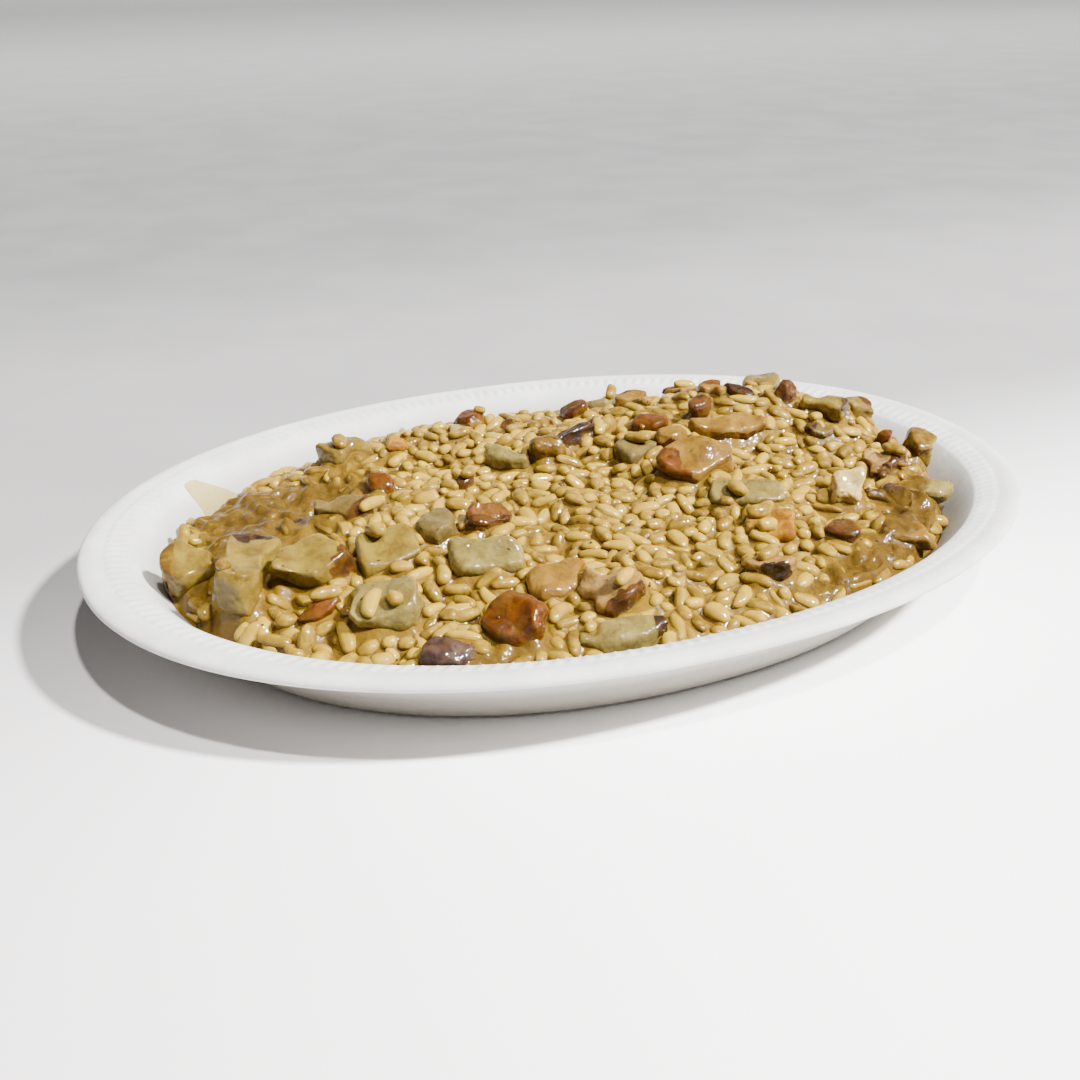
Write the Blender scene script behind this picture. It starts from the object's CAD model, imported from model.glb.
import math
from collections import namedtuple

import bmesh
import bpy
import numpy as np
from mathutils import Matrix, Vector, noise
from mathutils.bvhtree import BVHTree


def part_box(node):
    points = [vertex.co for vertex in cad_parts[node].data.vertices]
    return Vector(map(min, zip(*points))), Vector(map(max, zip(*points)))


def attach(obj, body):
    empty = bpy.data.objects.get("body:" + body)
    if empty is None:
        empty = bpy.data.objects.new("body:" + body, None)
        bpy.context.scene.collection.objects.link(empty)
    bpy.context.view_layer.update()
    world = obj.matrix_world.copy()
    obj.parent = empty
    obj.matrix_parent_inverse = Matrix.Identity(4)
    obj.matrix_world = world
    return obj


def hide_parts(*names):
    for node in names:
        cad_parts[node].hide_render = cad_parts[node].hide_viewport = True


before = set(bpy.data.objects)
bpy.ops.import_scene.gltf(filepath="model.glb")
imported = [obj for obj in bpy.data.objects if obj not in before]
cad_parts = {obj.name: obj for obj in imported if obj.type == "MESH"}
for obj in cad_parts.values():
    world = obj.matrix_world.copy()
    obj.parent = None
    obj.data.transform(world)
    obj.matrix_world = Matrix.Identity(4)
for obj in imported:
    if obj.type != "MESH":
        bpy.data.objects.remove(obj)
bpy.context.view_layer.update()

# Mushroom risotto on an oval platter of white foam. The heap's one CAD solid is replaced
# by a body of sauce with loose grains of rice dropped on it, every mushroom piece by a
# softer and slightly warped one, and the platter by one with its ribs and rolled rim.
# Metres, +Z up. Colours are linear red, green and blue.

MM = 0.001

# The platter, as the CAD has it: a superellipse at shares of its full size
HALF_LENGTH = 130 * MM
HALF_WIDTH = 93.8 * MM
OVAL = 2.11
FLOOR_TOP = 3.0 * MM
FLOOR_SHARE = 0.735
SECTION = (  # (share of the outline, height) from the floor's edge up, over and down
    (0.735, 3.0), (0.765, 4.0), (0.80, 8.4), (0.88, 19.8), (0.90, 22.3), (0.95, 23.5),
    (0.972, 24.0), (0.993, 23.4), (1.0, 22.2), (0.992, 21.0), (0.95, 20.7), (0.913, 19.9),
    (0.895, 17.8), (0.818, 6.7), (0.777, 1.2), (0.75, 0.0),
)

# The heap's edge on the wall, as the CAD has it
FOOD_SCALE = 0.845
EDGE_WAVES = ((3, 0.4, 0.006), (8, 1.9, 0.004))  # (waves round, phase, depth)
EDGE_DIPS = ((140, 9, 0.022), (82, 24, 0.020), (205, 10, 0.008))  # (degrees, spread, depth)

# The height fields that the heap is worked out on
PITCH = 0.5 * MM
MARGIN = 6 * MM
COARSE = 2  # the CAD's large facets are read at every second cell
HEAP_LOW, HEAP_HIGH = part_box("risotto_rice")
X_START = HEAP_LOW[0] - MARGIN
Y_START = HEAP_LOW[1] - MARGIN
COLUMNS = int((HEAP_HIGH[0] + MARGIN - X_START) / PITCH) // COARSE * COARSE
ROWS = int((HEAP_HIGH[1] + MARGIN - Y_START) / PITCH) // COARSE * COARSE
XS = X_START + PITCH * np.arange(COLUMNS)
YS = Y_START + PITCH * np.arange(ROWS)
GRID_X, GRID_Y = np.meshgrid(XS, YS)

RIDES_ON = "root"
rng = np.random.default_rng(71)
TINY = 1e-6  # keeps a division from meeting zero


# ---- numbers and fields

LUMP_TO_BLUR = 2.2  # a lump is this many times the reach of the blur that makes it


def smooth_step(low, high, value):
    t = np.clip((value - low) / (high - low), 0, 1)
    return t * t * (3 - 2 * t)


def blurred(field, reach):
    """The field smoothed by a bell curve of this reach, in metres."""
    cells = reach / PITCH
    half = max(1, int(2.6 * cells))
    weights = np.exp(-0.5 * (np.arange(-half, half + 1) / cells) ** 2)
    weights /= weights.sum()
    for axis in (0, 1):
        pad = [(half, half) if i == axis else (0, 0) for i in (0, 1)]
        padded = np.pad(field, pad, mode="edge")
        size = field.shape[axis]
        field = sum(
            w * np.take(padded, np.arange(k, k + size), axis=axis)
            for k, w in enumerate(weights)
        )
    return field


def lumpy(size, seed):
    """A field of soft random lumps of this size, from about -1 to 1."""
    draws = np.random.default_rng(seed).standard_normal(GRID_X.shape)
    lumps = blurred(draws, size / LUMP_TO_BLUR)
    return lumps / (2 * lumps.std())


def bump(x, y, reach_x, reach_y, turn=0):
    """A soft round patch of height 1; millimetres and degrees."""
    c, s = math.cos(math.radians(turn)), math.sin(math.radians(turn))
    dx, dy = GRID_X / MM - x, GRID_Y / MM - y
    across, along = (c * dx + s * dy) / reach_x, (c * dy - s * dx) / reach_y
    return np.exp(-across * across - along * along)


def cells_of(x, y):
    columns = np.clip(np.rint((x - X_START) / PITCH).astype(int), 0, COLUMNS - 1)
    rows = np.clip(np.rint((y - Y_START) / PITCH).astype(int), 0, ROWS - 1)
    return rows, columns


def read(field, x, y):
    """The field at these points, between its cells."""
    across = np.clip((np.asarray(x) - X_START) / PITCH, 0, COLUMNS - 1.001)
    along = np.clip((np.asarray(y) - Y_START) / PITCH, 0, ROWS - 1.001)
    i, j = across.astype(int), along.astype(int)
    u, v = across - i, along - j
    low = field[j, i] * (1 - u) + field[j, i + 1] * u
    high = field[j + 1, i] * (1 - u) + field[j + 1, i + 1] * u
    return low * (1 - v) + high * v


def oval_point(share, angle):
    c, s = np.cos(angle), np.sin(angle)
    x = np.sign(c) * np.abs(c) ** (2 / OVAL)
    y = np.sign(s) * np.abs(s) ** (2 / OVAL)
    return share * HALF_LENGTH * x, share * HALF_WIDTH * y


def oval_share(x, y):
    far = (np.abs(x) / HALF_LENGTH) ** OVAL + (np.abs(y) / HALF_WIDTH) ** OVAL
    return far ** (1 / OVAL)


def wall_height(share):
    """The height of the platter's inside at this share of the outline."""
    shares = [row[0] for row in SECTION[:5]]
    return np.interp(share, shares, [row[1] * MM for row in SECTION[:5]])


def edge_share(angle):
    share = FOOD_SCALE
    for waves, phase, depth in EDGE_WAVES:
        share = share + depth * np.sin(waves * angle + phase)
    for middle, spread, depth in EDGE_DIPS:
        off = (np.degrees(angle) % 360 - middle) / spread
        share = share - depth * np.exp(-off * off)
    return share


# ---- meshes

RAY_START = 1.0  # a height well above everything
DOWN = Vector((0, 0, -1))


def in_scene(name, data):
    made = bpy.data.objects.new(name, data)
    bpy.context.scene.collection.objects.link(made)
    return made


def mesh_object(name, points, faces, material, sides=None):
    """An object from arrays. All faces have the same number of sides, or sides lists them."""
    points = np.asarray(points, np.float32)
    mesh = bpy.data.meshes.new(name)
    mesh.vertices.add(len(points))
    mesh.vertices.foreach_set("co", points.ravel())
    if sides is None:
        sides = np.full(len(faces), faces.shape[1], np.int32)
    corners = np.asarray(faces, np.int32).ravel()
    mesh.loops.add(len(corners))
    mesh.loops.foreach_set("vertex_index", corners)
    mesh.polygons.add(len(sides))
    mesh.polygons.foreach_set("loop_start", np.concatenate([[0], np.cumsum(sides)[:-1]]))
    mesh.update(calc_edges=True)
    mesh.validate()
    mesh.shade_smooth()
    mesh.materials.append(material)
    return in_scene(name, mesh)


def add_value(obj, name, values):
    """A number for each vertex, which the materials read."""
    layer = obj.data.attributes.new(name, "FLOAT", "POINT")
    layer.data.foreach_set("value", np.asarray(values, np.float32))


def belongs(obj, slot, *nodes):
    """The piece rides on the one body, takes its finish from the slot and replaces the nodes."""
    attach(obj, RIDES_ON)
    if nodes:
        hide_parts(*nodes)
    return obj


def tree_of(mesh):
    faces = [tuple(face.vertices) for face in mesh.polygons]
    return BVHTree.FromPolygons([vert.co for vert in mesh.vertices], faces)


def heights(tree, xs, ys):
    """Where rays straight down first meet the mesh; nan where they miss."""
    found = np.full((len(ys), len(xs)), np.nan)
    for j, y in enumerate(ys):
        for i, x in enumerate(xs):
            hit = tree.ray_cast(Vector((x, y, RAY_START)), DOWN)[0]
            if hit is not None:
                found[j, i] = hit.z
    return found


def grid_faces(rows, columns, wrap):
    """Four-sided faces between the points of a grid that is stored row by row."""
    j, i = np.meshgrid(np.arange(rows - 1), np.arange(columns if wrap else columns - 1))
    j, i = j.ravel(), i.ravel()
    k = (i + 1) % columns
    here, above = j * columns, (j + 1) * columns
    return np.stack([here + i, here + k, above + k, above + i], 1)


def fan(ring, point):
    """Triangles that close a ring of points onto one point."""
    return np.stack([np.roll(ring, -1), ring, np.full(len(ring), point)], 1)


# ---- materials


IOR = 1.42
SPECULAR_LEVEL = 0.08  # low, so that only the coats shine


class Nodes:
    """A short way to build a material's nodes; lengths are in millimetres."""

    def __init__(self, name, roughness, coat=0, coat_roughness=0.1, scatter=0, reach=(1, 1, 1)):
        self.material = bpy.data.materials.new(name)
        self.material.use_nodes = True
        self.tree = self.material.node_tree
        self.shader = self.tree.nodes["Principled BSDF"]
        values = {
            "Roughness": roughness, "Coat Weight": coat, "Coat Roughness": coat_roughness,
            "Subsurface Weight": scatter, "Subsurface Radius": reach,
            "Subsurface Scale": MM, "IOR": IOR, "Specular IOR Level": SPECULAR_LEVEL,
        }
        for key, value in values.items():
            self.shader.inputs[key].default_value = value

    def node(self, kind, inputs=(), **settings):
        made = self.tree.nodes.new(kind)
        for key, value in settings.items():
            setattr(made, key, value)
        for key, value in dict(inputs).items():
            self.join(value, made.inputs[key])
        return made

    def join(self, value, socket):
        if isinstance(value, bpy.types.NodeSocket):
            self.tree.links.new(value, socket)
        else:
            socket.default_value = value

    def place(self):
        return self.node("ShaderNodeTexCoord").outputs["Object"]

    def noise(self, size, detail, distortion=0.0):
        """Noise with features of this size, from 0 to 1."""
        inputs = {
            "Vector": self.place(), "Scale": 1 / (size * MM), "Detail": detail,
            "Distortion": distortion,
        }
        return self.node("ShaderNodeTexNoise", inputs).outputs["Fac"]

    def cells(self, size):
        inputs = {"Vector": self.place(), "Scale": 1 / (size * MM)}
        return self.node("ShaderNodeTexVoronoi", inputs).outputs["Distance"]

    def value(self, name):
        return self.node("ShaderNodeAttribute", attribute_name=name).outputs["Fac"]

    def between(self, value, low, high, to_low=0.0, to_high=1.0):
        """Eases from to_low to to_high as the value goes from low to high."""
        inputs = {
            "Value": value, "From Min": low, "From Max": high, "To Min": to_low, "To Max": to_high,
        }
        return self.node("ShaderNodeMapRange", inputs, interpolation_type="SMOOTHSTEP").outputs[0]

    def patches(self, size, detail, low, high, to_low=0, to_high=1, swirl=0):
        """Soft patches of noise of this size, eased between two values."""
        return self.between(self.noise(size, detail, swirl), low, high, to_low, to_high)

    def maths(self, operation, a, b):
        return self.node("ShaderNodeMath", {0: a, 1: b}, operation=operation).outputs[0]

    def mix(self, amount, a, b, share=None):
        """Colour a where the amount is 0, and colour b, or a share of it, where it is 1."""
        if share:
            amount = self.maths("MULTIPLY", amount, share)
        made = self.node("ShaderNodeMix", data_type="RGBA")
        for socket, value in ((0, amount), (6, a), (7, b)):
            if isinstance(value, tuple):
                value = (*value, 1)
            self.join(value, made.inputs[socket])
        return made.outputs[2]

    def colour(self, value):
        self.join(value, self.shader.inputs["Base Color"])

    def roughness(self, value):
        self.join(value, self.shader.inputs["Roughness"])

    def relief(self, height, distance, strength, base=None):
        """A bump this deep, laid over another one if there is a base."""
        inputs = {"Height": height, "Distance": distance * MM, "Strength": strength}
        if base:
            inputs["Normal"] = base
        return self.node("ShaderNodeBump", inputs).outputs["Normal"]

    def normal(self, value):
        self.join(value, self.shader.inputs["Normal"])
        if self.shader.inputs["Coat Weight"].default_value:
            self.join(value, self.shader.inputs["Coat Normal"])


def foam_material():
    """White expanded foam: soft sheen, faint beads, a little mottling."""
    foam = Nodes("foam", 0.42, scatter=0.15, reach=(1.2, 1.2, 1.3))
    mottle = foam.patches(9, 3, 0.35, 0.7)
    beads = foam.between(foam.cells(1.6), 0.0, 0.7)
    tone = foam.mix(mottle, (0.47, 0.475, 0.455), (0.54, 0.545, 0.525))
    tone = foam.mix(beads, tone, (0.42, 0.42, 0.405), 0.22)
    tone = foam.mix(foam.value("stain"), tone, (0.255, 0.238, 0.205))
    foam.colour(foam.mix(foam.value("dull"), tone, (0.225, 0.212, 0.205)))
    foam.roughness(foam.patches(3, 2, 0.3, 0.7, 0.36, 0.52))
    waves = foam.relief(foam.noise(5, 2), 0.10, 0.5)
    foam.normal(foam.relief(foam.cells(1.1), 0.05, 0.45, base=waves))
    return foam.material


def rice_material():
    """Cooked rice: creamy and wet, paler in the core, each grain a little different."""
    rice = Nodes("rice_grain", 0.42, coat=0.65, coat_roughness=0.08,
                 scatter=0.45, reach=(1.6, 0.9, 0.3))
    tone = rice.value("tone")
    cream = rice.mix(rice.between(tone, 0.0, 1.0), (0.098, 0.053, 0.0028), (0.285, 0.183, 0.0155))
    cloud = rice.patches(2.2, 2, 0.35, 0.7)
    cream = rice.mix(cloud, cream, (0.400, 0.268, 0.032), 0.35)
    ends = rice.between(rice.value("along"), 0.72, 1.0)
    cream = rice.mix(ends, cream, (0.110, 0.054, 0.002), 0.40)
    coated = rice.between(rice.value("depth"), 0.0, 1.0)
    rice.colour(rice.mix(coated, cream, (0.080, 0.041, 0.0020), 0.85))
    rice.roughness(rice.patches(1.2, 2, 0.3, 0.7, 0.34, 0.50))
    ridges = rice.relief(rice.noise(1.7, 2), 0.13, 0.7)
    rice.normal(rice.relief(rice.noise(0.8, 1), 0.03, 0.5, base=ridges))
    return rice.material


def sauce_material():
    """Starchy stock thick enough to hold its shape, with fine specks in it."""
    sauce = Nodes("sauce", 0.45, coat=0.34, coat_roughness=0.07,
                  scatter=0.35, reach=(1.8, 1.0, 0.4))
    cloud = sauce.patches(11, 3, 0.3, 0.7, swirl=0.6)
    tan = sauce.mix(cloud, (0.042, 0.0210, 0.0022), (0.074, 0.040, 0.0037))
    starch = sauce.patches(1.4, 3, 0.42, 0.72)
    tan = sauce.mix(starch, tan, (0.120, 0.069, 0.0070), 0.35)
    film = sauce.between(sauce.value("film"), 0.0, 1.0)
    tan = sauce.mix(film, tan, (0.112, 0.062, 0.0040))
    thin = sauce.between(sauce.value("thin"), 0.0, 1.0)
    tan = sauce.mix(thin, tan, (0.38, 0.31, 0.14))
    speck = sauce.between(sauce.cells(3.4), 0.05, 0.09, 1.0, 0.0)
    sauce.colour(sauce.mix(speck, tan, (0.10, 0.05, 0.02), 0.7))
    sauce.roughness(sauce.patches(2.5, 2, 0.3, 0.7, 0.36, 0.52))
    swell = sauce.relief(sauce.noise(3.2, 2), 0.50, 0.8)
    sauce.normal(sauce.relief(sauce.noise(1.3, 1), 0.22, 0.8, base=swell))
    return sauce.material


# The tones of flesh and skin: each mottles between a pale and a deep colour
Flesh = namedtuple("Flesh", "pale deep")
FLESHES = {
    "khaki": Flesh((0.150, 0.103, 0.013), (0.082, 0.050, 0.005)),
    "green": Flesh((0.160, 0.124, 0.032), (0.092, 0.067, 0.014)),
    "grey": Flesh((0.100, 0.071, 0.018), (0.052, 0.034, 0.007)),
    "tan": Flesh((0.158, 0.085, 0.010), (0.088, 0.042, 0.004)),
    "pink": Flesh((0.220, 0.128, 0.034), (0.140, 0.075, 0.015)),
    "olive": Flesh((0.085, 0.049, 0.005), (0.040, 0.020, 0.002)),
    "red": Flesh((0.095, 0.035, 0.005), (0.040, 0.014, 0.002)),
    "straw": Flesh((0.220, 0.122, 0.009), (0.135, 0.062, 0.004)),
    "white": Flesh((0.350, 0.262, 0.095), (0.240, 0.165, 0.045)),
}
SKINS = {
    "orange": Flesh((0.086, 0.0245, 0.0005), (0.040, 0.0105, 0.0004)),
    "brown": Flesh((0.060, 0.021, 0.003), (0.024, 0.008, 0.002)),
    "dark": Flesh((0.026, 0.011, 0.005), (0.010, 0.005, 0.003)),
    "olive": Flesh((0.130, 0.073, 0.006), (0.062, 0.030, 0.003)),
    "purple": Flesh((0.050, 0.027, 0.018), (0.021, 0.010, 0.007)),
    "yellow": Flesh((0.240, 0.115, 0.003), (0.130, 0.048, 0.002)),
}


def paler(flesh, times):
    return tuple(times * c for c in flesh.pale)


def mushroom_material(flesh_name, skin_name):
    """Wet mushroom: pale fibrous flesh, and glossy skin where the skin value is high."""
    name = f"mushroom_{flesh_name}_{skin_name}"
    if name in bpy.data.materials:
        return bpy.data.materials[name]
    wet = Nodes(name, 0.32, coat=0.60, coat_roughness=0.07,
                scatter=0.55, reach=(2.8, 1.7, 0.5))
    flesh, skin = FLESHES[flesh_name], SKINS[skin_name]
    cloud = wet.patches(6.0, 3, 0.30, 0.70, swirl=0.4)
    body = wet.mix(cloud, flesh.deep, flesh.pale)
    fibre = wet.patches(1.0, 3, 0.45, 0.80)
    body = wet.mix(fibre, body, paler(flesh, 1.5), 0.25)
    worn = wet.between(wet.value("edge"), 0.25, 1.0)
    body = wet.mix(worn, body, paler(flesh, 1.3), 0.35)
    blotch = wet.patches(4.0, 3, 0.35, 0.65, swirl=0.8)
    peel = wet.mix(blotch, skin.deep, skin.pale)
    body = wet.mix(wet.between(wet.value("skin"), 0.25, 0.75), body, peel)
    film = wet.patches(3.6, 3, 0.52, 0.62, 0.0, 0.35)
    film = wet.maths("MAXIMUM", film, wet.between(wet.value("coated"), 0.0, 1.0, 0.0, 0.85))
    wet.colour(wet.mix(film, body, (0.070, 0.036, 0.0030)))
    wet.roughness(wet.patches(1.6, 2, 0.3, 0.7, 0.38, 0.56))
    swell = wet.relief(wet.noise(4.0, 2), 0.55, 0.8)
    wet.normal(wet.relief(wet.noise(1.4, 1), 0.24, 0.8, base=swell))
    return wet.material


def crumb_material():
    """Flecks of pepper and crumbs of mushroom: from black-brown to orange by their tone."""
    crumb = Nodes("crumb", 0.4, coat=0.3, coat_roughness=0.15)
    tone = crumb.value("tone")
    dark = crumb.mix(crumb.between(tone, 0.0, 0.5), (0.014, 0.007, 0.004), (0.060, 0.026, 0.004))
    body = crumb.mix(crumb.between(tone, 0.5, 1.0), dark, (0.170, 0.062, 0.003))
    patch = crumb.patches(1.2, 2, 0.35, 0.65, 0.0, 0.5)
    crumb.colour(crumb.mix(patch, body, (0.080, 0.040, 0.006)))
    crumb.normal(crumb.relief(crumb.noise(0.7, 2), 0.12, 0.7))
    return crumb.material


# ---- the platter

RIBS = 206
POINTS_PER_RIB = 4
RIB_BAND = (0.903, 0.912, 0.940, 0.950)  # shares where a rib starts, is full, fades and ends
RIB_RISE = 0.55 * MM
RIB_SHARES = (0.905, 0.915, 0.926, 0.937, 0.946)  # extra rings that shape the ribs
CORNER_CUT = 0.22  # the share of a side that is cut off at each corner
SHELF = 4  # the place of the shelf's first point in the section
RIM_TOP = 23.9 * MM
STAIN_FADE = (0.835, 0.895)  # the inner wall's stain ends between these shares
DULL_FADE = (17 * MM, 21.5 * MM)  # the outside is duller up to these heights
SAG = 0.12 * MM  # how uneven the rim is
SAG_FROM = 12 * MM


def rounded(points):
    """The open line with its corners cut."""
    cut = [points[0]]
    for a, b in zip(points, points[1:]):
        cut.append((1 - CORNER_CUT) * a + CORNER_CUT * b)
        cut.append(CORNER_CUT * a + (1 - CORNER_CUT) * b)
    return np.array([*cut, points[-1]])


FINE_ANGLES = 4001


def even_angles(count):
    """Outline angles that step evenly along the rim."""
    angle = np.linspace(0, 2 * np.pi, FINE_ANGLES)
    x, y = oval_point(1.0, angle)
    run = np.concatenate([[0], np.cumsum(np.hypot(np.diff(x), np.diff(y)))])
    return np.interp(np.arange(count) * run[-1] / count, run, angle)


def make_platter(material):
    """The foam platter: its section carried round the outline, with ribs on the shelf."""
    profile = np.array(SECTION) * (1, MM)
    shelf = profile[SHELF:SHELF + 2]
    extra = [(share, np.interp(share, shelf[:, 0], shelf[:, 1])) for share in RIB_SHARES]
    profile = rounded(np.concatenate([profile[:SHELF + 1], extra, profile[SHELF + 1:]]))
    count = RIBS * POINTS_PER_RIB
    angles = even_angles(count)
    wave = 0.5 - 0.5 * np.cos(2 * np.pi * np.arange(count) / count * RIBS)
    a, b, c, d = RIB_BAND
    rings, stains, dulls = [], [], []
    inner = True
    for share, height in profile:
        inner = inner and height < RIM_TOP
        stains.append(float(inner) * (1 - smooth_step(*STAIN_FADE, share)))
        dulls.append(0.0 if inner else float(1 - smooth_step(*DULL_FADE, height)))
        x, y = oval_point(share, angles)
        rise = 0
        if inner:
            rise = RIB_RISE * smooth_step(a, b, share) * (1 - smooth_step(c, d, share))
        sag = SAG * np.sin(3 * angles + 40 * share)
        z = height + rise * wave + (sag if height > SAG_FROM else 0)
        rings.append(np.stack([x, y, z], 1))
    points = np.concatenate([*rings, [[0, 0, FLOOR_TOP]], [[0, 0, 0.0]]])
    walls = grid_faces(len(rings), count, wrap=True)
    ring = np.arange(count)
    top = fan(ring, len(rings) * count)
    foot = fan(ring[::-1] + (len(rings) - 1) * count, len(rings) * count + 1)
    faces = np.concatenate([walls.ravel(), top.ravel(), foot.ravel()])
    sides = np.concatenate([np.full(len(walls), 4), np.full(2 * count, 3)])
    made = mesh_object("foam_platter", points, faces, material, sides)
    add_value(made, "stain", [*np.repeat(stains, count), 1, 0])
    add_value(made, "dull", [*np.repeat(dulls, count), 0, 1])
    belongs(made, "platter", "platter")


# ---- the mushroom pieces

VOXEL = 0.66 * MM
WELD = 1e-6
WARP_SIZE = 11 * MM  # the size of the bends that make a piece less regular, and their depth
WARP = 2.6 * MM
SHIFTS = (Vector((0, 0, 0)), Vector((0, 31.7, 0)), Vector((0, 0, 57.3)))  # for x, y and z
SEED_STEP = 3.7  # far enough apart for each piece to have noise of its own
RAGGED_SIZE = 2.6 * MM  # the skin's uneven edge
FOLD_SIZE = 4.6 * MM
CREASE_SIZE = 5.0 * MM
GRAINY_SIZE = 1.7 * MM
SHRINK = 0.1  # millimetres
EDGE_GAIN = 4.0  # from how sharply a vertex turns to how worn it is

# How each piece looks: its flesh, its skin, the way the skin faces (azimuth and elevation
# in degrees, +X is 0), the share of the piece that is skin, and the depth of its folds
Look = namedtuple(
    "Look", "flesh skin azimuth elevation share folds", defaults=("brown", 90, -20, 0.0, 0.12)
)
LOOKS = {
    "wedge_01": ("khaki", "olive", 165, 5, 0.30, 0.5),
    "block_01": ("khaki", "dark", 60, 40, 0.09),
    "wedge_02": ("khaki", "brown", -15, 5, 0.16),
    "strip_01": ("straw", "orange", -100, 40, 0.85),
    "block_02": ("green",),
    "block_03": ("khaki",),
    "slice_01": ("grey", "brown", -60, 10, 0.35, 0.5),
    "cap_01": ("tan", "orange", -110, 50, 0.85),
    "strip_02": ("olive", "yellow", -110, 50, 0.7),
    "strip_03": ("grey",),
    "wedge_03": ("red", "brown", -100, 10, 0.3, 0.9),
    "block_04": ("green",),
    "slice_02": ("tan", "yellow", 30, 30, 0.14),
    "slice_03": ("pink", "brown", -70, -12, 0.22),
    "cap_02": ("tan", "orange", -110, 35, 0.95),
    "strip_04": ("green", "dark", -16, 10, 0.20),
    "strip_05": ("red", "purple", -100, 40, 0.8),
    "wedge_04": ("tan", "orange", 190, -10, 0.22),
    "cap_03": ("tan", "brown", -100, -50, 0.32),
    "block_05": ("green",),
    "block_06": ("straw", "yellow", -100, 60, 0.6),
    "slice_04": ("pink", "dark", -104, 0, 0.20, 0.5),
    "strip_06": ("tan", "orange", -110, 40, 0.7),
    "strip_07": ("tan", "brown", -100, -60, 0.30),
    "wedge_05": ("tan", "brown", -120, 20, 0.6),
    "wedge_06": ("olive", "olive", -120, 30, 0.5, 0.5),
    "strip_08": ("green",),
    "strip_09": ("red", "brown", -110, 30, 0.7),
    "block_07": ("grey",),
    "wedge_07": ("red", "dark", -110, 30, 0.6, 0.7),
    "cap_04": ("tan", "orange", -80, 50, 0.6),
    "strip_10": ("tan", "brown", -110, 40, 0.6),
    "strip_11": ("tan", "brown", -140, 60, 0.75),
    "wedge_08": ("red", "dark", -110, 40, 0.8),
    "slice_05": ("tan", "orange", 60, 40, 0.3),
    "slice_06": ("khaki", "dark", -34, 10, 0.18),
    "strip_12": ("grey", "dark", 130, 20, 0.3, 0.5),
    "slice_07": ("pink", "brown", -75, -5, 0.22, 0.8),
    "wedge_09": ("khaki", "olive", 160, 10, 0.45),
    "strip_13": ("tan", "orange", -110, 40, 0.8),
    "block_08": ("white", "brown", 90, -20, 0.0, 0.5),
    "slice_08": ("olive", "purple", 60, 20, 0.30, 0.5),
    "block_09": ("green",),
    "wedge_10": ("straw", "brown", -100, 30, 0.7),
    "block_10": ("tan",),
    "slice_09": ("pink", "brown", 64, 0, 0.22),
    "block_11": ("khaki",),
    "wedge_11": ("khaki", "brown", 20, 0, 0.30),
    "strip_14": ("green", "dark", 100, 20, 0.15),
    "cap_05": ("tan", "orange", 80, 60, 0.6),
    "block_12": ("khaki",),
    "slice_10": ("tan", "brown", 100, 0, 0.22),
}


def fine_meshes(names):
    """Each CAD mushroom as an even fine mesh, smoothed a little."""
    copies = []
    for name in names:
        shape = bmesh.new()
        shape.from_mesh(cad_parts[name].data)
        bmesh.ops.remove_doubles(shape, verts=shape.verts, dist=WELD)
        mesh = bpy.data.meshes.new(name + "_shape")
        shape.to_mesh(mesh)
        shape.free()
        copy = in_scene(name + "_shape", mesh)
        even = copy.modifiers.new("even", "REMESH")
        even.mode = "VOXEL"
        even.voxel_size = VOXEL
        soft = copy.modifiers.new("soft", "SMOOTH")
        soft.factor = 0.5
        soft.iterations = 1
        copies.append(copy)
    graph = bpy.context.evaluated_depsgraph_get()
    graph.update()
    made = {}
    for name, copy in zip(names, copies):
        made[name] = bpy.data.meshes.new_from_object(copy.evaluated_get(graph))
        bpy.data.objects.remove(copy, do_unlink=True)
    return made


def facing(azimuth, elevation):
    a, e = math.radians(azimuth), math.radians(elevation)
    return Vector((math.cos(a) * math.cos(e), math.sin(a) * math.cos(e), math.sin(e)))


def finish_mushroom(name, mesh, seed):
    """Gives one piece its bends and folds, its skin and its worn edges."""
    look = Look(*LOOKS[name.removeprefix("mushroom_")])
    low, high = (Vector(corner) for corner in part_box(name))
    middle = (low + high) / 2
    way = facing(look.azimuth, look.elevation)
    count = len(mesh.vertices)
    places = [vert.co.copy() for vert in mesh.vertices]
    normals = [vert.normal.copy() for vert in mesh.vertices]
    reach = max((place - middle).dot(way) for place in places)
    skin = np.zeros(count)
    edge = np.zeros(count)
    away = Vector((seed * SEED_STEP, 0, 0))
    for i, (place, outward) in enumerate(zip(places, normals)):
        along = (place - middle).dot(way) / reach
        ragged = 0.22 * noise.noise(place / RAGGED_SIZE + away)
        if look.share:
            skin[i] = smooth_step(-0.05, 0.05, along + ragged - (1 - 2 * look.share))
        fold = 0.65 * noise.noise(place / FOLD_SIZE + away)
        crease = 1 - abs(noise.noise(place / CREASE_SIZE - away)) * 2.2
        grainy = 0.10 * noise.noise(place / GRAINY_SIZE)
        depth = fold - look.folds * max(crease, 0) ** 4 + grainy
        bends = [noise.noise(place / WARP_SIZE + away + shift) for shift in SHIFTS]
        mesh.vertices[i].co = place + outward * (depth - SHRINK) * MM + WARP * Vector(bends)
    around = [[] for _ in range(count)]
    for a, b in (tuple(side.vertices) for side in mesh.edges):
        turn = 1 - normals[a].dot(normals[b])
        around[a].append(turn)
        around[b].append(turn)
    for i, turns in enumerate(around):
        edge[i] = min(1, EDGE_GAIN * sum(turns) / max(1, len(turns)))
    mesh.name = "fine_" + name
    mesh.materials.clear()
    mesh.materials.append(mushroom_material(look.flesh, look.skin))
    mesh.shade_smooth()
    made = in_scene("fine_" + name, mesh)
    add_value(made, "skin", skin)
    add_value(made, "edge", edge)
    slot = "mushroom_skin" if "_cap_" in name else "mushroom_flesh"
    return belongs(made, slot, name)


# ---- the heap's fields

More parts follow.
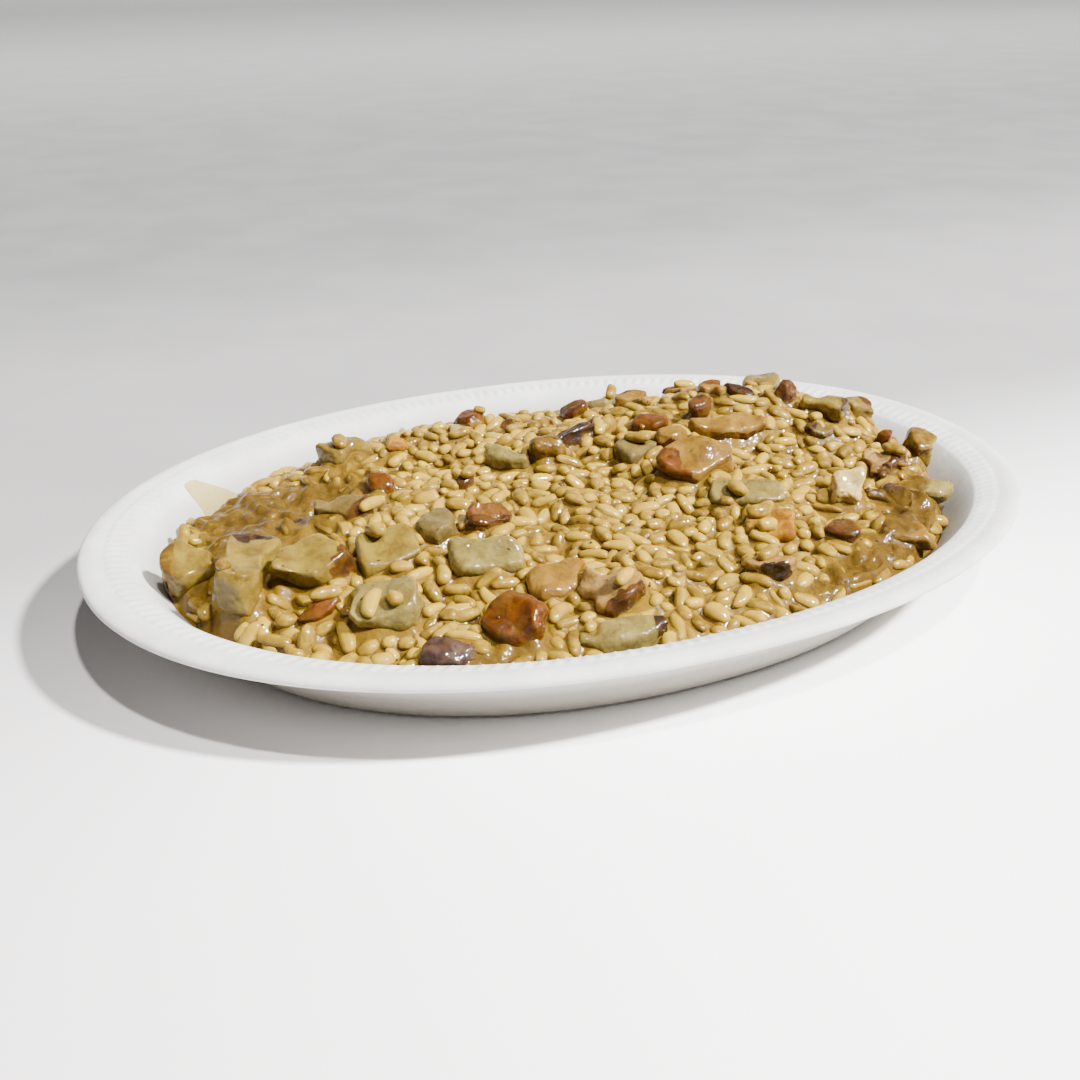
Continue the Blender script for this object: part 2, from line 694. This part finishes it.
RELIEF_RISE = 1.7 * MM  # how uneven the top of the heap is
FILM_DEPTH = 0.50 * MM  # how far the grains stand out of the film that drapes them
BANK_SHARE = 0.48  # how far up a mushroom the rice beside it climbs
CORE_DEPTH = 3.8 * MM  # how far under the top of the heap the grains start
FILL_REACHES = (1.5, 3, 6, 12, 30)  # millimetres, tried in turn
ENOUGH = 0.05


def refined(coarse):
    """A coarse field brought to the full pitch."""
    rows, columns = coarse.shape
    j = np.clip(np.arange(ROWS) / COARSE, 0, rows - 1.001)
    i = np.clip(np.arange(COLUMNS) / COARSE, 0, columns - 1.001)
    j0, i0 = j.astype(int), i.astype(int)
    v, u = (j - j0)[:, None], (i - i0)[None, :]
    across = coarse[:, i0] * (1 - u) + coarse[:, i0 + 1] * u
    return across[j0] * (1 - v) + across[j0 + 1] * v


def filled(field, known):
    """The field with its unknown cells filled in from the known ones round them."""
    values, weights = np.where(known, field, 0), known.astype(float)
    result, done = values.copy(), known.copy()
    for reach in FILL_REACHES:
        spread, total = blurred(values, reach * MM), blurred(weights, reach * MM)
        new = ~done & (total > ENOUGH)
        result[new] = (spread / np.maximum(total, TINY))[new]
        done |= new
    return result


def mushroom_tops(meshes):
    """The highest point of any mushroom in each cell, and the number of its piece."""
    tops = np.full(GRID_X.shape, -1.0)
    owner = np.full(GRID_X.shape, -1)
    for number, mesh in enumerate(meshes.values()):
        points = np.array([vert.co for vert in mesh.vertices])
        (left, front), (right, back) = points.min(0)[:2], points.max(0)[:2]
        rows, columns = cells_of(np.array([left, right]), np.array([front, back]))
        part = np.s_[rows[0]:rows[1] + 1, columns[0]:columns[1] + 1]
        found = heights(tree_of(mesh), XS[part[1]], YS[part[0]])
        higher = np.nan_to_num(found, nan=-1.0) > tops[part]
        tops[part] = np.where(higher, found, tops[part])
        owner[part] = np.where(higher, number, owner[part])
    return tops, owner


# ---- the grains

# Sizes are spans in millimetres; share is how common the kind is
Kind = namedtuple("Kind", "name length width thick bend share")
KINDS = (
    Kind("rice_long", (7.6, 9.3), (3.3, 3.9), (2.8, 3.4), 0.40, 0.24),
    Kind("rice_plump", (6.8, 8.4), (3.9, 4.6), (3.2, 3.9), 0.15, 0.30),
    Kind("rice_bent", (7.2, 8.8), (3.5, 4.1), (2.9, 3.5), 0.95, 0.22),
    Kind("rice_short", (5.2, 6.8), (3.6, 4.3), (3.1, 3.7), 0.25, 0.14),
    Kind("rice_broken", (3.8, 5.4), (3.1, 3.8), (2.6, 3.2), 0.15, 0.10),
)
GRAIN_COUNT = 3000  # at most; the bed is full sooner
MOST_MISSES = 300  # the bed is full once this many grains in a row find no place
PERCHED = 18  # grains that lie on mushroom pieces
PERCH_TRIES = 5
CANDIDATES = 36
SPOKES = (8, 14)  # test points on the rings of a grain's footprint, round the middle one
SINK = 0.75 * MM  # how far a grain may press into what it lies on
STEEP_SHARE = 0.5
STEEP = (0.25, 1.05)  # the slope of a steep grain
FLAT_SPREAD = 0.2  # and of the others
LEAST_GAIN = 0.15 * MM  # a grain that raises the bed by less isn't placed
OVER_COST, PEAK_COST = 1.6, 0.8  # what standing over the target costs a place


def footprint():
    """Test points on the unit disc, and the height of the unit ball over them."""
    points = [(0.0, 0.0)]
    for ring, count in enumerate(SPOKES, start=1):
        far = 0.52 * ring - 0.06
        for k in range(count):
            turn = 2 * math.pi * (k + 0.5 * ring) / count
            points.append((far * math.cos(turn), far * math.sin(turn)))
    points = np.array(points)
    return points, np.sqrt(np.maximum(0, 1 - (points ** 2).sum(1)))


FOOT, FOOT_RISE = footprint()


class Bed:
    """The surface that grains are dropped on, one at a time, up to a target height."""

    def __init__(self, surface, target, allowed):
        self.surface = surface.copy()
        self.target = target
        self.spots = np.argwhere(allowed)
        self.grains = []

    def drop(self, kind, size, spots, flat=False, least=LEAST_GAIN):
        """Tries some places and turns for one grain, and keeps the one that fits best."""
        length, width, thick = size
        count = len(spots)
        heading = rng.uniform(0, 2 * np.pi, count)
        steep = (rng.random(count) < STEEP_SHARE) & (not flat)
        steeps, gentle = rng.uniform(*STEEP, count), rng.normal(0, FLAT_SPREAD, count)
        pitch = np.where(steep, steeps, gentle)
        pitch *= rng.choice((-1, 1), count)
        x = XS[spots[:, 1]] + rng.uniform(-0.5, 0.5, count) * PITCH
        y = YS[spots[:, 0]] + rng.uniform(-0.5, 0.5, count) * PITCH
        reach = np.cos(pitch) * length / 2 + np.abs(np.sin(pitch)) * thick / 2
        along, across = FOOT[:, 0][None] * reach[:, None], FOOT[:, 1][None] * width / 2
        c, s = np.cos(heading)[:, None], np.sin(heading)[:, None]
        foot_x = x[:, None] + along * c - across * s
        foot_y = y[:, None] + along * s + across * c
        rows, columns = cells_of(foot_x, foot_y)
        ground, goal = self.surface[rows, columns], self.target[rows, columns]
        middle_line = FOOT[:, 0][None] * np.sin(pitch)[:, None] * length / 2
        swell = FOOT_RISE[None] * thick / 2
        rest = np.sort(ground - (middle_line - swell), axis=1)[:, -3] - SINK
        over = rest[:, None] + middle_line + swell - goal
        score = (goal - ground).mean(1) - OVER_COST * np.maximum(over - 0.2 * MM, 0).mean(1)
        score -= PEAK_COST * np.maximum(over.max(1) - 1.6 * MM, 0)
        best = int(np.argmax(score))
        if score[best] < least:
            return False
        self.add(kind, size, x[best], y[best], rest[best], heading[best], pitch[best])
        return True

    def add(self, kind, size, x, y, z, heading, pitch):
        """Keeps a grain, and raises the surface over it."""
        length, width, thick = size
        reach = math.cos(pitch) * length / 2 + abs(math.sin(pitch)) * thick / 2
        cells = int(reach / PITCH) + 2
        row, column = (int(v) for v in cells_of(x, y))
        first_row, first_column = max(row - cells, 0), max(column - cells, 0)
        part = np.s_[first_row:row + cells + 1, first_column:column + cells + 1]
        dx, dy = GRID_X[part] - x, GRID_Y[part] - y
        c, s = math.cos(heading), math.sin(heading)
        along, across = (dx * c + dy * s) / reach, (dy * c - dx * s) / (width / 2)
        inside = 1 - along ** 2 - across ** 2
        top = z + along * math.sin(pitch) * length / 2
        top = top + np.sqrt(np.maximum(inside, 0)) * thick / 2
        here = self.surface[part]
        self.surface[part] = np.where(inside > 0, np.maximum(here, top), here)
        self.grains.append((kind, size, x, y, z, heading, pitch))


def drawn_size(kind):
    return tuple(rng.uniform(*span) * MM for span in (kind.length, kind.width, kind.thick))


RING_COUNT, RING_POINTS = 9, 9
SHAPES_PER_KIND = 7
FIRST_SHAPE_SEED = 100
ROUNDNESS = 0.46
ROUGHNESS = 0.022  # how far a grain's points are off
GERM_PLACE, GERM_WIDTH, GERM_DEPTH = 0.80, 0.15, 0.26  # the notch at one end
BREAK_TILT = 0.10  # of a broken grain's end


def grain_shape(kind, seed):
    """The points of a grain of size 2 x 2 x 2 about its middle, lying along x."""
    draws = np.random.default_rng(seed)
    steps = np.linspace(-1, 1, RING_COUNT + 2)
    steps = np.sin(steps * np.pi / 2) * 0.55 + steps * 0.45
    turns = 2 * np.pi * np.arange(RING_POINTS) / RING_POINTS
    blunt = draws.uniform(2.0, 3.0, 2)
    lobes = draws.uniform(0.03, 0.09, 2)
    phases = draws.uniform(0, 2 * np.pi, 4)
    points = []
    for along in steps[1:-1]:
        far = (1 - abs(along) ** blunt[int(along > 0)]) ** ROUNDNESS
        far *= 1 + 0.05 * math.sin(2.2 * along + phases[0])
        ridge = 1 + lobes[0] * np.cos(3 * turns + phases[1])
        ridge = ridge + lobes[1] * np.cos(5 * turns + phases[2])
        germ = GERM_DEPTH * math.exp(-((along - GERM_PLACE) / GERM_WIDTH) ** 2)
        notch = germ * np.maximum(np.cos(turns - phases[3]), 0) ** 2
        y, z = far * (ridge - notch) * np.cos(turns), far * (ridge - notch) * np.sin(turns)
        points.append(np.stack([np.full(RING_POINTS, along), y, z], 1))
    if kind.name == "rice_broken":
        points[-1][:, 0] += BREAK_TILT * np.cos(turns + phases[1])
    points = np.concatenate([*points, [[-1, 0, 0]], [[1, 0, 0]]])
    return points + draws.normal(0, ROUGHNESS, points.shape)


def grain_faces():
    """(corner numbers, sides of each face) of one grain."""
    walls = grid_faces(RING_COUNT, RING_POINTS, wrap=True)
    ring, tip = np.arange(RING_POINTS), RING_COUNT * RING_POINTS
    start, end = fan(ring, tip), fan(ring[::-1] + tip - RING_POINTS, tip + 1)
    corners = np.concatenate([walls.ravel(), start.ravel(), end.ravel()])
    return corners, np.concatenate([np.full(len(walls), 4), np.full(2 * RING_POINTS, 3)])


BEND_SPAN = (0.5, 1.3)  # times the bend of the kind
ROLL_SPREAD = 0.35
WET_BAND = (-0.9 * MM, 0.4 * MM)  # a grain is coated between these depths under the sauce


def make_rice(kind, grains, level, sunk, material):
    """All grains of one kind as one mesh; sunk is how far each place is in the pools."""
    shapes = [grain_shape(kind, FIRST_SHAPE_SEED + k) for k in range(SHAPES_PER_KIND)]
    corners, sides = grain_faces()
    size_of_one = len(shapes[0])
    points, tones, alongs, depths, faces = [], [], [], [], []
    for number, (_, size, x, y, z, heading, pitch) in enumerate(grains):
        shape = shapes[rng.integers(SHAPES_PER_KIND)] * (1, rng.choice((-1, 1)), 1)
        local = shape * np.array(size) / 2
        bend = kind.bend * rng.uniform(*BEND_SPAN) * MM
        roll = rng.normal(0, ROLL_SPREAD)
        local[:, 1] += bend * (shape[:, 0] ** 2 - 0.4) * rng.choice((-1, 1))
        for turn, axes in ((roll, [1, 2]), (pitch, [0, 2]), (heading, [0, 1])):
            c, s = math.cos(turn), math.sin(turn)
            local[:, axes] = local[:, axes] @ np.array([[c, s], [-s, c]])
        local += (x, y, z)
        points.append(local)
        faces.append(corners + number * size_of_one)
        tones.append(np.full(size_of_one, rng.random()))
        alongs.append(np.abs(shape[:, 0]))
        near = read(level, local[:, 0], local[:, 1]) - local[:, 2]
        wet = smooth_step(*WET_BAND, near)
        depths.append(np.maximum(wet, read(sunk, local[:, 0], local[:, 1])))
    all_sides = np.tile(sides, len(grains))
    made = mesh_object(
        kind.name, np.concatenate(points), np.concatenate(faces), material, all_sides
    )
    for name, values in (("tone", tones), ("along", alongs), ("depth", depths)):
        add_value(made, name, np.concatenate(values))
    belongs(made, "rice")


# ---- the sauce

SAUCE_ROWS, SAUCE_COLUMNS = 262, 350
OVER_WALL = 0.12 * MM  # how far the sauce's top stays off the platter
RIM_GAP = 0.10 * MM
UNDER_WALL = 0.15 * MM  # how far its underside reaches into the foam


def unit_grid(rows, columns, low):
    return np.meshgrid(np.linspace(low, 1, columns), np.linspace(low, 1, rows))


def make_sauce(level, film, material):
    """The body of sauce under and between the grains, closed along the platter's inside."""
    u, v = unit_grid(SAUCE_ROWS, SAUCE_COLUMNS, -1)
    # the square grid pressed into a disc, then out to the edge of the food
    disc_x, disc_y = u * np.sqrt(1 - v * v / 2), v * np.sqrt(1 - u * u / 2)
    angle = np.arctan2(disc_y, disc_x)
    far = np.hypot(disc_x, disc_y)
    x, y = oval_point(far * edge_share(angle), angle)
    z = np.maximum(read(level, x, y), wall_height(oval_share(x, y)) + OVER_WALL)
    numbers = np.arange(SAUCE_ROWS * SAUCE_COLUMNS).reshape(SAUCE_ROWS, SAUCE_COLUMNS)
    rim = np.concatenate(
        [numbers[0], numbers[1:, -1], numbers[-1, -2::-1], numbers[-2:0:-1, 0]]
    )
    flat_angle = angle.ravel()[rim]
    edge = edge_share(flat_angle)
    z.ravel()[rim] = wall_height(edge) + RIM_GAP
    top = np.stack([x, y, z], 2).reshape(-1, 3)
    rings = []
    for share in (0.5, 0.0):
        here = FLOOR_SHARE + (edge - FLOOR_SHARE) * share
        ring_x, ring_y = oval_point(here, flat_angle)
        rings.append(np.stack([ring_x, ring_y, wall_height(here) - UNDER_WALL], 1))
    count = len(rim)
    points = np.concatenate([top, *rings, [[0, 0, FLOOR_TOP - UNDER_WALL]]])
    surface = grid_faces(SAUCE_ROWS, SAUCE_COLUMNS, wrap=False)
    loops = [rim, len(top) + np.arange(count), len(top) + count + np.arange(count)]
    skirts = [
        np.stack([b, np.roll(b, -1), np.roll(a, -1), a], 1) for a, b in zip(loops, loops[1:])
    ]
    under = fan(loops[-1], len(points) - 1)
    faces = np.concatenate([surface.ravel(), *(s.ravel() for s in skirts), under.ravel()])
    sides = np.concatenate([np.full(len(surface) + 2 * count, 4), np.full(count, 3)])
    made = mesh_object("creamy_sauce", points, faces, material, sides)
    films = np.zeros(len(points))
    films[: len(top)] = read(film, x, y).ravel()
    add_value(made, "film", films)
    belongs(made, "rice", "risotto_rice")


# ---- smear, flecks and crumbs

# The film of sauce on the back left wall
SMEAR_FOOT = (134.0, 147.5)  # degrees, from one side of its foot to the other
SMEAR_TIP = (143.6, 0.921)  # degrees, and the share of the outline
SMEAR_ROWS, SMEAR_COLUMNS = 26, 30
SMEAR_THICKNESS = 0.25 * MM
SMEAR_START = 0.02  # how much of the outline it reaches in under the heap
SMEAR_SINK = 0.03 * MM  # its edges lie this far in the foam
FLECK_COUNT = 420
CROWN_START = 30 * MM  # crumbs are larger, and there are more of them, from here on
CRUMB_SHARES = (0.16, 0.42)  # of the flecks, outside the crown and in it
CRUMB_SIZES = ((1.3, 2.8), (1.3, 4.2))  # millimetres, the same way
PEPPER_SIZES = (0.4, 0.95)
CRUMB_ROUGHNESS = 0.22
CRUMB_SQUASH = ((0.8, 1.5), (0.5, 1.0), (0.3, 0.6))
# Single grains that stand out from the heap: x, y, z in mm, heading and pitch
PLACED = (
    (-101.5, 25.0, 17.5, 0.9, 1.15), (-63.0, -21.0, 23.5, 2.6, 0.1),
    (-58.5, -19.0, 23.6, 0.3, 0.1), (-96.0, 36.5, 15.5, 1.9, 0.2),
)


def make_smear(material):
    """A thin film that runs up the wall to a point, with a ragged edge."""
    u, v = unit_grid(SMEAR_ROWS, SMEAR_COLUMNS, 0)
    low, high = SMEAR_FOOT
    foot = low + (high - low) * u
    narrow = (1 - v) ** 0.9
    ragged = 0.9 * np.sin(9 * v + 1.0) * v * (1 - v)
    angle = np.radians(SMEAR_TIP[0] + (foot - SMEAR_TIP[0]) * narrow + ragged)
    start = edge_share(angle) - SMEAR_START
    share = start + (SMEAR_TIP[1] - start) * v
    x, y = oval_point(share, angle)
    film = SMEAR_THICKNESS * (1 - 0.75 * v) * np.sqrt(np.clip(4 * u * (1 - u), 0, 1))
    ripple = 1 + 0.25 * np.sin(14 * u + 5 * v)
    z = wall_height(share) + film * ripple - SMEAR_SINK
    points = np.stack([x, y, z], 2).reshape(-1, 3)
    faces = grid_faces(SMEAR_ROWS, SMEAR_COLUMNS, wrap=False)
    made = mesh_object("sauce_smear", points, faces, material)
    add_value(made, "thin", (0.35 + 0.65 * v).ravel())
    belongs(made, "rice")


def make_crumbs(surface, material):
    """Pepper flecks and mushroom crumbs, each a small lump of its own, as one mesh."""
    ball = bmesh.new()
    bmesh.ops.create_icosphere(ball, subdivisions=1, radius=1.0)
    shape = np.array([vert.co for vert in ball.verts])
    corners = np.array([[vert.index for vert in face.verts] for face in ball.faces])
    ball.free()
    draws = np.random.default_rng(17)
    points, faces, tones = [], [], []
    for number in range(FLECK_COUNT):
        angle, far = draws.uniform(0, 2 * np.pi), math.sqrt(draws.uniform(0, 0.93))
        x, y = oval_point(far * edge_share(angle), angle)
        crown = int(x > CROWN_START)
        crumb = draws.random() < CRUMB_SHARES[crown]
        size = draws.uniform(*(CRUMB_SIZES[crown] if crumb else PEPPER_SIZES))
        z = float(read(surface, x, y)) - (0.25 * size if crumb else 0.05) * MM
        heading = Matrix.Rotation(draws.uniform(0, 2 * np.pi), 3, "Z")
        spin = heading @ Matrix.Rotation(draws.normal(0, 0.5), 3, "X")
        squash = np.array([draws.uniform(*span) for span in CRUMB_SQUASH])
        lump = shape * (1 + CRUMB_ROUGHNESS * draws.standard_normal((len(shape), 1)))
        lump = (lump * squash * size * MM / 2) @ np.array(spin).T + (x, y, z)
        points.append(lump)
        faces.append(corners + number * len(shape))
        tone = draws.uniform(0.2, 1.0) if crumb else draws.uniform(0.0, 0.35)
        tones.append(np.full(len(shape), tone))
    made = mesh_object("crumbs", np.concatenate(points), np.concatenate(faces), material)
    add_value(made, "tone", np.concatenate(tones))
    belongs(made, "mushroom_skin")


# ---- stage, lights, camera

CAMERA_PLACE = (-138.5 * MM, -298.3 * MM, 162.8 * MM)
CAMERA_FORWARD = Vector((0.3591, 0.8306, -0.4257))
CAMERA_UP = Vector((0.1776, 0.3870, 0.9048))
LENS, SENSOR = 43.34, 36  # millimetres
CLIP = (0.01, 50)

Light = namedtuple("Light", "name place size power colour")
LIGHTS = (
    Light("key", (1.67, -1.60, 2.44), 0.27, 700, (1.0, 0.985, 0.965)),
    Light("top", (0.27, -1.34, 2.95), 0.17, 175, (1.0, 0.98, 0.96)),
)
WORLD_COLOUR = (1.0, 0.95, 0.91, 1)
WORLD_STRENGTH = 0.34

# The floor and its curved back: half its width, its back and front, its height, the bend
SWEEP_HALF, SWEEP_BACK, SWEEP_FRONT, SWEEP_RISE, SWEEP_BEND = 6.0, 4.2, -4.0, 3.0, 1.2
SWEEP_STEPS = 8


def make_stage():
    """A plain pale floor that curves up at the back, in tones that ease into each other."""
    floor = Nodes("studio_floor", 0.6)
    split = floor.node("ShaderNodeSeparateXYZ", {"Vector": floor.place()}).outputs
    side = floor.between(split["X"], -0.22, 0.02)
    front = floor.between(split["Y"], 0.10, -0.10)
    near = floor.mix(side, (0.57, 0.545, 0.55), (0.99, 0.975, 0.98))
    tone = floor.mix(front, (0.24, 0.234, 0.236), near)
    tone = floor.mix(floor.between(split["Y"], 0.2, 0.45), tone, (0.155, 0.157, 0.158))
    tone = floor.mix(floor.between(split["Y"], 0.6, 1.9), tone, (0.34, 0.35, 0.35))
    faint = floor.patches(60, 2, 0.3, 0.7)
    floor.colour(floor.mix(faint, tone, (0.8, 0.8, 0.8), 0.03))
    flat_end = SWEEP_BACK - SWEEP_BEND
    curve = [(SWEEP_FRONT, 0.0), (flat_end, 0.0)]
    for k in range(1, SWEEP_STEPS + 1):
        turn = math.pi / 2 * k / SWEEP_STEPS
        rise = SWEEP_BEND - SWEEP_BEND * math.cos(turn)
        curve.append((flat_end + SWEEP_BEND * math.sin(turn), rise))
    curve.append((SWEEP_BACK, SWEEP_RISE))
    points = [(x, y, z) for y, z in curve for x in (-SWEEP_HALF, SWEEP_HALF)]
    faces = np.array([(2 * i, 2 * i + 1, 2 * i + 3, 2 * i + 2) for i in range(len(curve) - 1)])
    mesh_object("studio_sweep", points, faces, floor.material)


def make_lights():
    """Two soft round lights that face the origin, and a faint even one from all round."""
    for light in LIGHTS:
        lamp = bpy.data.lights.new(light.name, "AREA")
        lamp.shape = "DISK"
        lamp.size = light.size
        lamp.energy = light.power
        lamp.color = light.colour
        made = in_scene(light.name, lamp)
        made.location = light.place
        made.rotation_euler = (-Vector(light.place)).to_track_quat("-Z", "Y").to_euler()
    world = bpy.data.worlds.new("studio")
    bpy.context.scene.world = world
    world.use_nodes = True
    inputs = world.node_tree.nodes["Background"].inputs
    inputs["Color"].default_value = WORLD_COLOUR
    inputs["Strength"].default_value = WORLD_STRENGTH


def make_camera():
    lens = bpy.data.cameras.new("camera")
    lens.lens = LENS
    lens.sensor_width = SENSOR
    lens.clip_start, lens.clip_end = CLIP
    made = in_scene("camera", lens)
    made.location = CAMERA_PLACE
    forward = CAMERA_FORWARD.normalized()
    right = forward.cross(CAMERA_UP.normalized()).normalized()
    up = right.cross(forward)
    turn = Matrix((right, up, -forward)).transposed()
    made.rotation_euler = turn.to_euler()
    bpy.context.scene.camera = made


# ---- putting it together

PIECE_MARGIN = 0.8 * MM  # the CAD's heap isn't read this near a mushroom
BANK_REACH = 2.6 * MM
MOST_PROUD = 9 * MM
EDGE_LEFT = 2.2 * MM  # no grain's middle is nearer to the food's edge
FILM_REACH = 0.85 * MM
MEAN_REACH = 2.4 * MM
GRAINS_OVER = 0.9 * MM  # grains lie over a mushroom that rises less than this
MENISCUS = (-0.2 * MM, 3.0 * MM)
COATED_RISE = 1.1 * MM  # how far up a mushroom the sauce coats it

make_camera()
make_stage()
make_lights()
make_platter(foam_material())

mushroom_names = sorted(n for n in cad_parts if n.startswith("mushroom_"))
mushroom_meshes = fine_meshes(mushroom_names)
mushrooms = [
    finish_mushroom(name, mesh, seed)
    for seed, (name, mesh) in enumerate(mushroom_meshes.items())
]
tops, owner = mushroom_tops(mushroom_meshes)

angle_here = np.arctan2(
    np.sign(GRID_Y) * (np.abs(GRID_Y) / HALF_WIDTH) ** (OVAL / 2),
    np.sign(GRID_X) * (np.abs(GRID_X) / HALF_LENGTH) ** (OVAL / 2),
)
share_here = oval_share(GRID_X, GRID_Y)
edge_here = edge_share(angle_here)
wall = wall_height(share_here)
inward = (edge_here - share_here) * np.hypot(GRID_X, GRID_Y) / np.maximum(share_here, TINY)

coarse_top = heights(tree_of(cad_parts["risotto_rice"].data), XS[::COARSE], YS[::COARSE])
covered = (owner >= 0).astype(float)
near_piece = blurred(covered, PIECE_MARGIN) > 0.02
heap_known = ~np.isnan(refined(coarse_top)) & ~near_piece & (inward > 0.5 * MM)
target = filled(np.nan_to_num(refined(coarse_top)), heap_known)
rough = lumpy(9 * MM, 5) + 0.6 * lumpy(4 * MM, 6)
target += RELIEF_RISE * rough * smooth_step(0, 8 * MM, inward)
beside = blurred(covered, BANK_REACH)
proud = blurred(covered * np.clip(tops - target, 0, MOST_PROUD), BANK_REACH)
proud /= np.maximum(beside, 1e-3)
bank = BANK_SHARE * proud * smooth_step(0.03, 0.42, beside)
target += bank * smooth_step(0, 6 * MM, inward)

# How much each place is under the pools of sauce
pool = np.clip(
    1.3 * bump(-74, 32, 25, 17, -28) + bump(-88, 8, 14, 14) + 1.6 * bump(84, -49, 36, 10, 38)
    + 0.8 * bump(-48, -70, 16, 7, 10) + 0.8 * bump(50, -68, 30, 7, 12),
    0, 1,
)
floor_level = wall + 0.15 * MM
core = np.maximum(target - CORE_DEPTH, floor_level)
solid = np.where(blurred(covered, 0.9 * MM) > 0.74, tops, -1.0)
allowed = (inward > EDGE_LEFT) & (solid < target + GRAINS_OVER)
bed = Bed(np.maximum(core, solid), target, allowed)
shares = np.array([kind.share for kind in KINDS])
misses = 0
while len(bed.grains) < GRAIN_COUNT and misses < MOST_MISSES:
    kind = KINDS[rng.choice(len(KINDS), p=shares / shares.sum())]
    spots = bed.spots[rng.integers(len(bed.spots), size=CANDIDATES)]
    misses = 0 if bed.drop(kind, drawn_size(kind), spots) else misses + 1

# The sauce drapes the grains as a film, and lies deeper where it is wetter
grain_tops = np.maximum(bed.surface, np.minimum(tops, target + 0.6 * MM))
grain_tops = np.where(owner >= 0, np.minimum(grain_tops, target + GRAINS_OVER), grain_tops)
mean_top = blurred(grain_tops, MEAN_REACH)
wetness = 1.9 * pool + 0.50 * lumpy(12 * MM, 9)
hug = blurred(grain_tops, FILM_REACH) - FILM_DEPTH + 1.0 * MM * np.maximum(wetness, -0.4)
level = np.maximum(hug, mean_top - 1.3 * MM + 1.2 * MM * wetness)
level = np.maximum(level, blurred(target, 1.5 * MM) - 2.2 * MM)
meniscus = smooth_step(*MENISCUS, inward)
level = floor_level + (level - floor_level) * meniscus
film = 1 - smooth_step(0.15 * MM, 1.1 * MM, level - blurred(grain_tops, 0.4 * MM))
film *= 1 - 0.8 * pool

# A few grains lie on the mushrooms, and a few stand out where the photo has them
perches = np.argwhere((tops > target + GRAINS_OVER) & (blurred(covered, 1.0 * MM) > 0.6))
bed.surface = np.maximum(bed.surface, tops)
bed.target = bed.surface + 2.4 * MM
for _ in range(PERCHED):
    kind = KINDS[rng.choice(len(KINDS), p=shares / shares.sum())]
    spots = perches[rng.integers(len(perches), size=PERCH_TRIES)]
    bed.drop(kind, drawn_size(kind), spots, flat=True, least=-1)
for x, y, z, heading, pitch in PLACED:
    bed.add(KINDS[0], drawn_size(KINDS[0]), x * MM, y * MM, z * MM, heading, pitch)

for piece in mushrooms:
    places = np.array([vert.co for vert in piece.data.vertices])
    rise = places[:, 2] - read(level, places[:, 0], places[:, 1])
    add_value(piece, "coated", 1 - smooth_step(0.0, COATED_RISE, rise))

sauce_look = sauce_material()
make_sauce(level, film, sauce_look)
make_smear(sauce_look)
grain_look = rice_material()
for kind in KINDS:
    ours = [grain for grain in bed.grains if grain[0] is kind]
    make_rice(kind, ours, level, 0.5 * pool, grain_look)
make_crumbs(np.maximum(bed.surface, level), crumb_material())
